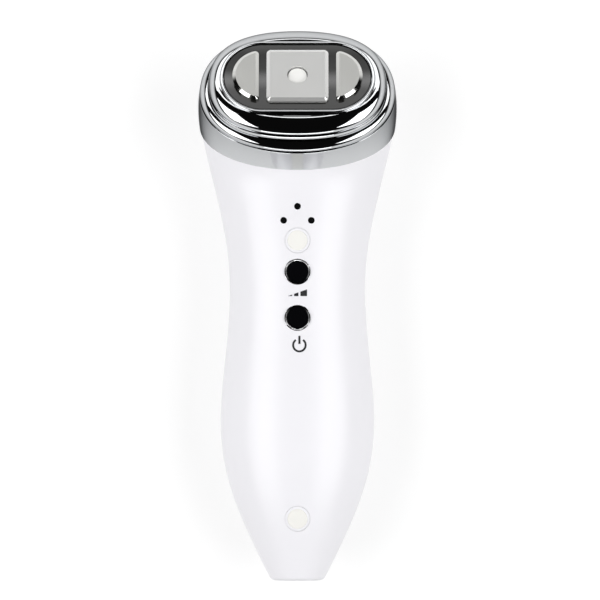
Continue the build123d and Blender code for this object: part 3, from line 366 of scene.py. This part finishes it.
def finish_of(name, colour, roughness, metal=0.0, grain=0.4, relief=0.004, drift=0.03):
    """A finish with a grain in its surface and a drift in its tone and its dullness.

    The grain's width and the relief are in millimetres.
    """
    made = bpy.data.materials.new(name)
    made.use_nodes = True
    tree = made.node_tree
    shader = shader_of(made)
    shader.inputs["Metallic"].default_value = metal
    place = new_node(tree, "TexCoord")
    fine = new_node(tree, "TexNoise", Scale=1 / (grain * MM), Detail=3.0)
    broad = new_node(tree, "TexNoise", Scale=140.0, Detail=4.0)
    surface = new_node(tree, "Bump", Strength=1.0, Distance=relief * MM)
    tone = new_node(tree, "Mix")
    tone.data_type = "RGBA"
    tone.inputs["A"].default_value = (*[part * (1 - drift) for part in colour], 1)
    tone.inputs["B"].default_value = (*[min(1, part * (1 + drift)) for part in colour], 1)
    dullness = new_node(tree, "MapRange", From_Min=0.3, From_Max=0.7)
    dullness.inputs["To Min"].default_value = roughness * (1 - DULLNESS_DRIFT)
    dullness.inputs["To Max"].default_value = roughness * (1 + DULLNESS_DRIFT)
    wire(
        tree,
        (place, "Object", fine, "Vector"),
        (place, "Object", broad, "Vector"),
        (fine, "Fac", surface, "Height"),
        (surface, "Normal", shader, "Normal"),
        (broad, "Fac", tone, "Factor"),
        (tone, "Result", shader, "Base Color"),
        (broad, "Fac", dullness, "Value"),
        (dullness, "Result", shader, "Roughness"),
    )
    return made


def dress(piece, finish, body="handset"):
    """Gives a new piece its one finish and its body."""
    piece.data.materials.clear()
    piece.data.materials.append(finish)
    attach(piece, body)


def paint(node, finish):
    """Gives a CAD node its one finish."""
    nodes[node].data.materials.clear()
    nodes[node].data.materials.append(finish)


glossy_white = finish_of("glossy_white", (0.87, 0.863, 0.895), 0.335, grain=3.0, drift=0.006)
rear_half = merged_copy("rear_half", "rear_shell")
open_seam(rear_half, -1)
even_normals(rear_half)
dress(rear_half, glossy_white)

# The power inlet is a black nylon block in the tail end. Its nickel pin and side
# contact are pressed into the block from inside.
inlet_nylon = finish_of("inlet_nylon", (0.012, 0.012, 0.013), 0.4, grain=0.3, relief=0.006)
inlet_block = merged_copy("inlet_block", "inlet_body")
dress(inlet_block, inlet_nylon)
bright_nickel = finish_of("bright_nickel", (0.62, 0.60, 0.55), 0.18, metal=1.0, grain=0.5, relief=0.002)
centre_pin = merged_copy("centre_pin", "inlet_pin")
dress(centre_pin, bright_nickel)
paint("inlet_blade", bright_nickel)

# The front half carries the buttons, the lenses and two wells for the case
# screws. It is the same glossy white as the rear half.
front_half = merged_copy("front_half", "front_shell")
open_seam(front_half, 1)
even_normals(front_half)
dress(front_half, glossy_white)

# Each button is a glossy black cap with a low crown. A bright chromed sleeve is
# pressed into the front wall round it, with a turned slope down to the cap that is
# widest on the side away from the other button.
sleeve_chrome = finish_of("sleeve_chrome", (0.72, 0.72, 0.73), 0.06, metal=1.0, grain=1.5, relief=0.001)
gloss_black = finish_of("gloss_black", (0.0022, 0.0022, 0.0028), 0.08, grain=1.2, relief=0.001)
CIRCLE_POINTS = 128
SLEEVE_RADIUS = 4.10
SLEEVE_BORE = 3.50
SLEEVE_LENGTH = 2.3


def level_circle(y, z, radius):
    """A level circle over the middle line of the front."""
    bpy.ops.object.select_all(action="DESELECT")
    bpy.ops.mesh.primitive_circle_add(vertices=CIRCLE_POINTS, radius=radius * MM)
    ring = bpy.context.object
    for vertex in ring.data.vertices:
        vertex.co += spot(0, y, z)
    return ring


for name, y, top, side in (("mode", 97.6, 37.699, 1), ("power", 83.1, 37.873, -1)):
    bottom = top - SLEEVE_LENGTH
    sleeve = bridge_rings(
        name + "_sleeve",
        [
            level_circle(y, bottom, SLEEVE_RADIUS),
            level_circle(y, top - 0.10, SLEEVE_RADIUS),
            level_circle(y, top - 0.04, 4.08),
            level_circle(y, top, 4.02),
            level_circle(y + side * 0.14, top - 0.01, 3.76),
            level_circle(y + side * 0.12, top - 0.03, 3.73),
            level_circle(y, top - 0.36, SLEEVE_BORE),
            level_circle(y, bottom + 0.01, SLEEVE_BORE),
        ],
        closed=True,
    )
    bpy.ops.object.shade_smooth_by_angle(angle=math.radians(25))
    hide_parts(name + "_button_ring")
    dress(sleeve, sleeve_chrome)
    cap = merged_copy(name + "_cap", name + "_button")
    dress(cap, gloss_black, body=name + "_button_unit")

# Three dark light pipes of tinted acrylic lie flush in the front wall. Each is pressed
# into its hole from inside and ends over a lamp on the board.
tinted_acrylic = finish_of("tinted_acrylic", (0.004, 0.004, 0.004), 0.12, grain=1.0, relief=0.001)
for name in ("top", "left", "right"):
    pipe = merged_copy("light_pipe_" + name, "indicator_lens_" + name)
    even_normals(pipe)
    dress(pipe, tinted_acrylic)

# The circuit board is green glass laminate with copper tracks under the lacquer. Four
# screws hold it to posts of the front half.
LACQUER = (0.012, 0.10, 0.035)
board_green = finish_of("board_green", LACQUER, 0.35, grain=0.3, relief=0.008)
board_tree = board_green.node_tree
board_place = new_node(board_tree, "TexCoord")
tracks = new_node(board_tree, "TexVoronoi")
tracks.distance = "CHEBYCHEV"
tracks.feature = "DISTANCE_TO_EDGE"
tracks.inputs["Scale"].default_value = 420.0
track_edge = new_node(board_tree, "MapRange", From_Min=0.05, From_Max=0.08, To_Min=0.55, To_Max=0.0)
track_tone = new_node(board_tree, "Mix")
track_tone.data_type = "RGBA"
track_tone.inputs["A"].default_value = (*LACQUER, 1)
track_tone.inputs["B"].default_value = (0.05, 0.26, 0.08, 1)
wire(
    board_tree,
    (board_place, "Object", tracks, "Vector"),
    (tracks, "Distance", track_edge, "Value"),
    (track_edge, "Result", track_tone, "Factor"),
    (track_tone, "Result", shader_of(board_green), "Base Color"),
)
paint("main_board", board_green)

# Steel screws hold the board, the carrier and the case, and steel nuts the studs of
# the electrodes. All of them are zinc plated.
zinc_steel = finish_of("zinc_steel", (0.50, 0.50, 0.52), 0.34, metal=1.0, relief=0.003)
for node in ("board_screws", "carrier_screws", "case_screws", "electrode_nuts"):
    paint(node, zinc_steel)

# The board's parts: moulded black epoxy bodies, ferrite cores, an enamelled
# winding, sleeved capacitors, white lamps and cream nylon sockets.
black_epoxy = finish_of("black_epoxy", (0.015, 0.015, 0.016), 0.5, grain=0.15, relief=0.005)
for node in ("control_chip", "driver_transistor", "buzzer", "mode_switch", "power_switch"):
    paint(node, black_epoxy)
ferrite = finish_of("ferrite", (0.05, 0.048, 0.046), 0.6, grain=0.2, relief=0.012, drift=0.15)
paint("transformer_core", ferrite)
paint("boost_inductor", ferrite)
enamelled_copper = finish_of("enamelled_copper", (0.48, 0.17, 0.06), 0.34, metal=0.8, relief=0.08)
winding_tree = enamelled_copper.node_tree
turns = new_node(winding_tree, "TexWave", Scale=500.0)
turns.bands_direction = "Z"
wire(
    winding_tree,
    (winding_tree.nodes["Texture Coordinate"], "Object", turns, "Vector"),
    (turns, "Fac", winding_tree.nodes["Bump"], "Height"),
)
paint("transformer_winding", enamelled_copper)
paint("storage_capacitors", finish_of("capacitor_sleeve", (0.02, 0.03, 0.06), 0.35, grain=0.8))
lamp_white = finish_of("lamp_white", (0.75, 0.75, 0.70), 0.34, grain=0.5)
for node in ("indicator_lamps", "mode_switch_plunger", "power_switch_plunger"):
    paint(node, lamp_white)
cream_nylon = finish_of("cream_nylon", (0.72, 0.68, 0.55), 0.45, grain=0.3, relief=0.005)
for node in ("power_socket", "transducer_socket", "electrode_socket"):
    paint(node, cream_nylon)

# Leads run from the inlet, the transducer and the electrodes to the board, in
# soft black sleeving and in red silicone.
black_sleeving = finish_of("black_sleeving", (0.015, 0.015, 0.015), 0.5, grain=0.5, relief=0.01)
paint("power_lead", black_sleeving)
paint("transducer_lead", black_sleeving)
paint("electrode_leads", finish_of("red_silicone", (0.42, 0.02, 0.015), 0.45, grain=0.5, relief=0.01))

# The transducer: a tinned can round a grey backing and a ceramic disc, closed
# by a white acoustic lens whose nose shows in the square plate.
paint("transducer_can", finish_of("tinned_can", (0.58, 0.57, 0.54), 0.22, metal=1.0, relief=0.003))
paint("transducer_backing", finish_of("backing_epoxy", (0.16, 0.16, 0.16), 0.6, relief=0.01, drift=0.1))
paint("piezo_disc", finish_of("piezo_ceramic", (0.55, 0.50, 0.40), 0.55, grain=0.2, relief=0.006))
outlet_white = finish_of("outlet_white", (0.93, 0.93, 0.905), 0.34, grain=0.6, relief=0.003)
acoustic_lens = merged_copy("acoustic_lens", "transducer_lens")
dress(acoustic_lens, outlet_white)

# The collar is one die-cast shell, polished and chromed, which tips the
# treatment face out of the handset. Its tiers are ovals parallel to the face, and
# each ring of its skin is bridged to the next, outside and in, to a closed body.
face_centre = spot(0, 158.8, 43.0)
tilt = math.radians(33.0)
face_up = Vector((0, math.sin(tilt), math.cos(tilt)))
face_forward = Vector((0, -math.cos(tilt), math.sin(tilt)))
FACE_FULLNESS = 0.66
EDGE_FULLNESS = 0.60
RIM_STRAIGHT = 10.8


def face_ring(depth, half_length, half_height, fullness=FACE_FULLNESS):
    """An oval parallel to the treatment face, at a depth below its rim."""
    middle = face_centre - face_up * depth * MM
    reach = face_forward * half_height * MM
    return arc_ring(middle + reach, middle - reach, half_length * MM, fullness, fullness)


def tier_edge(angles, depth, half_length, half_height, side_fullness=FACE_FULLNESS):
    """Rings round the edge of a tier, from its side at 90 degrees to its top at 0.

    Each measure is a pair: its value at the top, and how much it grows to the side.
    """
    rings = []
    for degrees in angles:
        sideways = math.sin(math.radians(degrees))
        down = 1 - math.cos(math.radians(degrees))
        rings.append(
            face_ring(
                depth[0] + depth[1] * down,
                half_length[0] + half_length[1] * sideways,
                half_height[0] + half_height[1] * sideways,
                blend(FACE_FULLNESS, side_fullness, degrees / 90),
            )
        )
    return rings


def rim_ring(depth, radius):
    """A racetrack parallel to the face: two half circles and two straights."""
    bpy.ops.object.select_all(action="DESELECT")
    bpy.ops.mesh.primitive_circle_add(vertices=RING_POINTS, radius=radius * MM)
    ring = bpy.context.object
    for vertex in ring.data.vertices:
        x, y = vertex.co.xy
        if abs(x) > 0.01 * MM:
            x += math.copysign(RIM_STRAIGHT * MM, x)
        vertex.co = face_centre - face_up * depth * MM - face_forward * y + Vector((x, 0, 0))
    return ring


# The skirt passes through three rings: at the handset, in between and at the sharp
# edge below the tiers. Each is its front and rear point, half width and two fullnesses.
SKIRT_LINES = [
    (spot(0, 129.5, 40.5), spot(0, 157.9, 12.1), 30.9, *CASE_FULLNESS),
    (spot(0, 132.0, 43.6), spot(0, 165.9, 16.6), 31.3, *CASE_FULLNESS),
    (spot(0, 135.095, 47.901), spot(0, 172.920, 23.339), 30.75, EDGE_FULLNESS, EDGE_FULLNESS),
]
SKIRT_MIDDLE = 0.46
SKIRT_WALL = 1.9


def skirt_ring(share, inset=0.0):
    """A ring of the skirt: 0 at the handset, 1 at the sharp edge, inside the wall by an inset."""
    weights = (
        (share - SKIRT_MIDDLE) * (share - 1) / SKIRT_MIDDLE,
        share * (share - 1) / (SKIRT_MIDDLE * (SKIRT_MIDDLE - 1)),
        share * (share - SKIRT_MIDDLE) / (1 - SKIRT_MIDDLE),
    )
    front = sum((line[0] * weight for line, weight in zip(SKIRT_LINES, weights)), Vector())
    rear = sum((line[1] * weight for line, weight in zip(SKIRT_LINES, weights)), Vector())
    half_width, ahead, behind = (
        sum(line[part] * weight for line, weight in zip(SKIRT_LINES, weights)) for part in (2, 3, 4)
    )
    pull = (front - rear).normalized() * inset * MM
    return arc_ring(front - pull, rear + pull, (half_width - inset) * MM, ahead, behind)


collar_rings = [skirt_ring(part / 100) for part in (0, 2, 10, 20, 32, 46, 60, 74, 86, 90)]
collar_rings += [
    face_ring(depth, half_length, half_height, EDGE_FULLNESS)
    for depth, half_length, half_height in (
        (9.72, 30.84, 22.50),
        (9.66, 30.72, 22.38),
        (9.60, 30.50, 22.20),
        (9.15, 30.42, 22.20),
        (9.05, 30.50, 22.30),
        (8.98, 30.60, 22.40),
        (8.90, 30.68, 22.48),
    )
]
roll_angles = (90, 84, 78, 72, 66, 60, 52, 44, 36, 28, 20, 10, 0)
collar_rings += tier_edge(roll_angles, (6.45, 2.35), (28.30, 2.40), (20.10, 2.40), EDGE_FULLNESS)
collar_rings += [
    face_ring(6.38, 28.28, 20.08),
    face_ring(6.25, 28.26, 20.06),
    face_ring(5.60, 28.15, 19.95),
    face_ring(5.05, 28.06, 19.86),
    face_ring(4.92, 28.02, 19.82),
    face_ring(4.88, 27.95, 19.75),
    face_ring(4.86, 27.80, 19.60),
    face_ring(4.80, 27.70, 19.50),
    face_ring(4.10, 27.70, 19.50),
    face_ring(4.00, 27.74, 19.54),
    face_ring(3.90, 27.75, 19.55),
]
dome_angles = (84, 78, 72, 66, 60, 53, 46, 39, 32, 24, 16, 8, 0)
collar_rings += tier_edge(dome_angles, (0.9, 2.9), (25.2, 2.55), (14.64, 4.85))
collar_rings += [face_ring(0.91, 25.1, 14.6), rim_ring(0.93, 13.66)]
collar_rings += [rim_ring(0.86, 13.61), rim_ring(0.4, 13.6)]
RIM_ROUND = 0.4
BORE_ROUND = 0.25
for degrees in (15, 30, 45, 60, 75, 90):
    turn = math.radians(degrees)
    depth = RIM_ROUND - RIM_ROUND * math.sin(turn)
    collar_rings.append(rim_ring(depth, 13.2 + RIM_ROUND * math.cos(turn)))
for degrees in (0, 22, 45, 68, 90):
    turn = math.radians(degrees)
    depth = 0.26 - BORE_ROUND * math.cos(turn)
    collar_rings.append(rim_ring(depth, 12.8 - BORE_ROUND * math.sin(turn)))
collar_rings += [rim_ring(2.50, 12.55), rim_ring(2.52, 10.65), rim_ring(4.20, 10.65)]
collar_rings += [face_ring(4.22, 25.85, 17.65), face_ring(10.2, 26.3, 18.1)]
collar_rings += [face_ring(10.25, 28.5, 20.3, 0.62)]
collar_rings += [skirt_ring(part / 100, SKIRT_WALL) for part in (80, 46, 5, 0)]
collar = bridge_rings("collar", collar_rings, closed=True)
bpy.ops.object.shade_smooth_by_angle(angle=math.radians(32))
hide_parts("head_bezel")
CHROME_COLOUR = (0.54, 0.55, 0.56)
chrome = finish_of("chrome", CHROME_COLOUR, 0.035, metal=1.0, grain=9.0, relief=0.001, drift=0.01)
skirt_chrome = finish_of("skirt_chrome", CHROME_COLOUR, 0.09, metal=1.0, grain=9.0, relief=0.001)
# Both chromes get a dark edge tint, which dims their reflections at glancing angles: painted shade in the
# reflections of their steep sides.
for finish in (chrome, skirt_chrome):
    shader_of(finish).inputs["Specular Tint"].default_value = (0.1, 0.1, 0.1, 1)
dress(collar, chrome)
collar.data.materials.append(skirt_chrome)
# The skirt's ten rings and the first ring of its edge have the duller chrome.
SKIRT_RINGS = 11
for polygon in collar.data.polygons:
    if max(polygon.vertices) < SKIRT_RINGS * RING_POINTS:
        polygon.material_index = 1

# The window is a smoky acrylic panel on a black rubber gasket. A black nylon
# carrier behind it is screwed to the collar and clamps both.
paint("window_gasket", finish_of("gasket_rubber", (0.01, 0.01, 0.01), 0.7, relief=0.01))
paint("electrode_carrier", finish_of("carrier_nylon", (0.02, 0.02, 0.022), 0.45, relief=0.006))
smoky_acrylic = finish_of("smoky_acrylic", (0.016, 0.016, 0.015), 0.06, grain=5.0, relief=0.001, drift=0.08)
# The window's reflection is painted by height up the face: its specular level is strongest just below the
# middle and weakest near the top, a painted reflection band.
smoke_tree = smoky_acrylic.node_tree
smoke_place = new_node(smoke_tree, "TexCoord")
up_the_face = new_node(smoke_tree, "VectorMath")
up_the_face.operation = "DOT_PRODUCT"
up_the_face.inputs[1].default_value = -face_forward
face_level = -face_forward.dot(face_centre)
WINDOW_REACH = 12.5
height = new_node(smoke_tree, "MapRange")
height.inputs["From Min"].default_value = face_level - WINDOW_REACH * MM
height.inputs["From Max"].default_value = face_level + WINDOW_REACH * MM
painted_reflection = new_node(smoke_tree, "ValToRGB")
painted_reflection.color_ramp.interpolation = "EASE"
PAINTED_REFLECTION_STOPS = ((0.0, 0.40), (0.28, 0.46), (0.45, 0.95), (0.64, 0.25), (0.82, 0.20), (1.0, 0.42))
for share, level in PAINTED_REFLECTION_STOPS[1:-1]:
    painted_reflection.color_ramp.elements.new(share)
for stop, (share, level) in zip(painted_reflection.color_ramp.elements, PAINTED_REFLECTION_STOPS):
    stop.position = share
    stop.color = (level, level, level, 1)
wire(
    smoke_tree,
    (smoke_place, "Object", up_the_face, 0),
    (up_the_face, "Value", height, "Value"),
    (height, "Result", painted_reflection, "Fac"),
    (painted_reflection, "Color", shader_of(smoky_acrylic), "Specular IOR Level"),
)
window = merged_copy("window", "face_window")
dress(window, smoky_acrylic)

# The electrodes are bead-blasted plates with polished bevels, each held by two
# studs and nuts. The square one has the hole where the sound comes out.
satin_plate = finish_of("satin_plate", (0.62, 0.62, 0.61), 0.36, metal=0.42, grain=0.12, relief=0.002)
satin_moon = finish_of("satin_moon", (0.51, 0.51, 0.49), 0.34, metal=0.42, grain=0.12, relief=0.002)
polished_bevel = finish_of("polished_bevel", (0.78, 0.78, 0.77), 0.20, metal=0.6, grain=1.0, relief=0.001)
mirror_bevel = finish_of("mirror_bevel", (0.62, 0.62, 0.60), 0.07, metal=1.0, grain=1.0, relief=0.001)
FLAT_TOP = 0.999


def polish_bevels(plate, finish):
    """Gives a polished finish to every face of a plate but its flat top."""
    plate.data.materials.append(finish)
    for polygon in plate.data.polygons:
        if polygon.normal.dot(face_up) < FLAT_TOP:
            polygon.material_index = 1


square_plate = merged_copy("square_plate", "centre_electrode", angle=18)
dress(square_plate, satin_plate)
polish_bevels(square_plate, polished_bevel)
for side in ("left", "right"):
    moon = merged_copy(side + "_moon", side + "_electrode", angle=18)
    dress(moon, satin_moon)
    polish_bevels(moon, mirror_bevel)

# Two plugs cover the case screws. Each is a white ring moulded round a cream centre,
# with a fine groove between them, and its top carries on the front surface.
cream_cover = finish_of("cream_cover", (0.88, 0.872, 0.835), 0.34, grain=0.5)
OVERHEAD = 60.0
COVER_RADIUS = 3.95
COVER_OUTLINE = [
    (COVER_RADIUS, 0.14),
    (3.92, 0.05),
    (3.84, 0.0),
    (3.22, 0.0),
    (3.14, 0.14),
    (3.04, 0.14),
    (2.96, 0.0),
    (2.4, 0.0),
    (1.8, 0.0),
    (1.2, 0.0),
    (0.5, 0.0),
]
WHITE_RINGS = 6


def cover_ring(y, radius, sink):
    """A circle laid on the front surface, or sunk a little under it."""
    ring = level_circle(y, OVERHEAD, radius)
    for vertex in ring.data.vertices:
        place = case_guide.ray_cast(vertex.co, (0, 0, -1))[1]
        vertex.co = place - Vector((0, 0, sink * MM))
    return ring


for name, y, floor in (("upper", 107.4, 34.53), ("lower", 19.8, 30.86)):
    cover_rings = [level_circle(y, floor, COVER_RADIUS)]
    cover_rings += [cover_ring(y, radius, sink) for radius, sink in COVER_OUTLINE]
    cover = bridge_rings(name + "_cover", cover_rings)
    bpy.ops.object.mode_set(mode="EDIT")
    bpy.ops.mesh.select_all(action="DESELECT")
    bpy.ops.mesh.select_non_manifold()
    bpy.ops.mesh.edge_face_add()
    bpy.ops.object.mode_set(mode="OBJECT")
    bpy.ops.object.shade_smooth_by_angle(angle=math.radians(25))
    even_normals(cover)
    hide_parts(name + "_screw_cover")
    dress(cover, cream_cover)
    cover.data.materials.append(glossy_white)
    for polygon in cover.data.polygons:
        if max(polygon.vertices) < WHITE_RINGS * CIRCLE_POINTS:
            polygon.material_index = 1

# Two plain symbols are pad printed in dark grey ink on the front: three rising
# bars between the buttons and a power symbol below them.
print_ink = finish_of("print_ink", (0.012, 0.012, 0.014), 0.5, grain=0.1, relief=0.003, drift=0.1)
INK_FILM = 0.04


def lay_print(sheet, name):
    """Drops a flat sheet of ink on to the front surface and gives it a thickness."""
    select_only(sheet)
    drop = sheet.modifiers.new("drop", "SHRINKWRAP")
    drop.wrap_method = "PROJECT"
    drop.use_project_z = True
    drop.use_negative_direction = True
    drop.use_positive_direction = False
    drop.target = case_guide
    bpy.ops.object.modifier_apply(modifier="drop")
    for vertex in sheet.data.vertices:
        vertex.co.z += INK_FILM * MM
    film = sheet.modifiers.new("film", "SOLIDIFY")
    film.thickness = INK_FILM * MM
    film.offset = -1.0
    bpy.ops.object.modifier_apply(modifier="film")
    bpy.ops.object.shade_smooth_by_angle(angle=math.radians(30))
    sheet.name = name
    dress(sheet, print_ink)


BARS = ((-2.98, -1.70), (-1.08, 0.30), (0.93, 3.00))
BARS_POINT = -3.05
BARS_SLOPE = 0.35
BARS_FOOT_Y = 89.9
for number, (left, right) in enumerate(BARS):
    bpy.ops.object.select_all(action="DESELECT")
    bpy.ops.mesh.primitive_grid_add(x_subdivisions=8, y_subdivisions=6, size=1.0)
    bar = bpy.context.object
    for vertex in bar.data.vertices:
        x = blend(left, right, vertex.co.x + 0.5)
        rise = (x - BARS_POINT) * BARS_SLOPE * (vertex.co.y + 0.5)
        vertex.co = spot(x, BARS_FOOT_Y + rise, OVERHEAD)
    lay_print(bar, f"level_bar_{number + 1}")

POWER_X = 0.6
POWER_Y = 74.5
POWER_RADIUS = 1.66
POWER_GAP = 0.92
POWER_THICKENING = 1.37
bpy.ops.object.select_all(action="DESELECT")
bpy.ops.mesh.primitive_circle_add(vertices=72, radius=POWER_RADIUS * MM, rotation=(0, 0, math.pi / 2))
power_mark = bpy.context.object
bpy.ops.object.transform_apply(location=False, rotation=True, scale=False)
bpy.ops.object.mode_set(mode="EDIT")
bpy.ops.mesh.select_mode(type="VERT")
bpy.ops.mesh.select_all(action="DESELECT")
outline = bmesh.from_edit_mesh(power_mark.data)
for vertex in outline.verts:
    vertex.select_set(vertex.co.y > 0 and abs(vertex.co.x) < POWER_GAP * MM)
bmesh.update_edit_mesh(power_mark.data)
bpy.ops.mesh.delete(type="VERT")
bpy.ops.mesh.select_all(action="SELECT")
bpy.ops.mesh.extrude_region_move()
bpy.ops.transform.resize(value=(POWER_THICKENING, POWER_THICKENING, 1.0), center_override=(0, 0, 0))
bpy.ops.object.mode_set(mode="OBJECT")
for vertex in power_mark.data.vertices:
    vertex.co = spot(POWER_X + vertex.co.x / MM, POWER_Y + vertex.co.y / MM, OVERHEAD)
lay_print(power_mark, "power_mark")

STROKE_WIDTH = 0.62
STROKE_LENGTH = 2.55
STROKE_Y = 76.15
bpy.ops.object.select_all(action="DESELECT")
bpy.ops.mesh.primitive_grid_add(x_subdivisions=2, y_subdivisions=8, size=1.0)
power_stroke = bpy.context.object
for vertex in power_stroke.data.vertices:
    x = POWER_X + STROKE_WIDTH * vertex.co.x
    y = STROKE_Y + STROKE_LENGTH * vertex.co.y
    vertex.co = spot(x, y, OVERHEAD)
lay_print(power_stroke, "power_stroke")

bpy.data.objects.remove(case_guide)
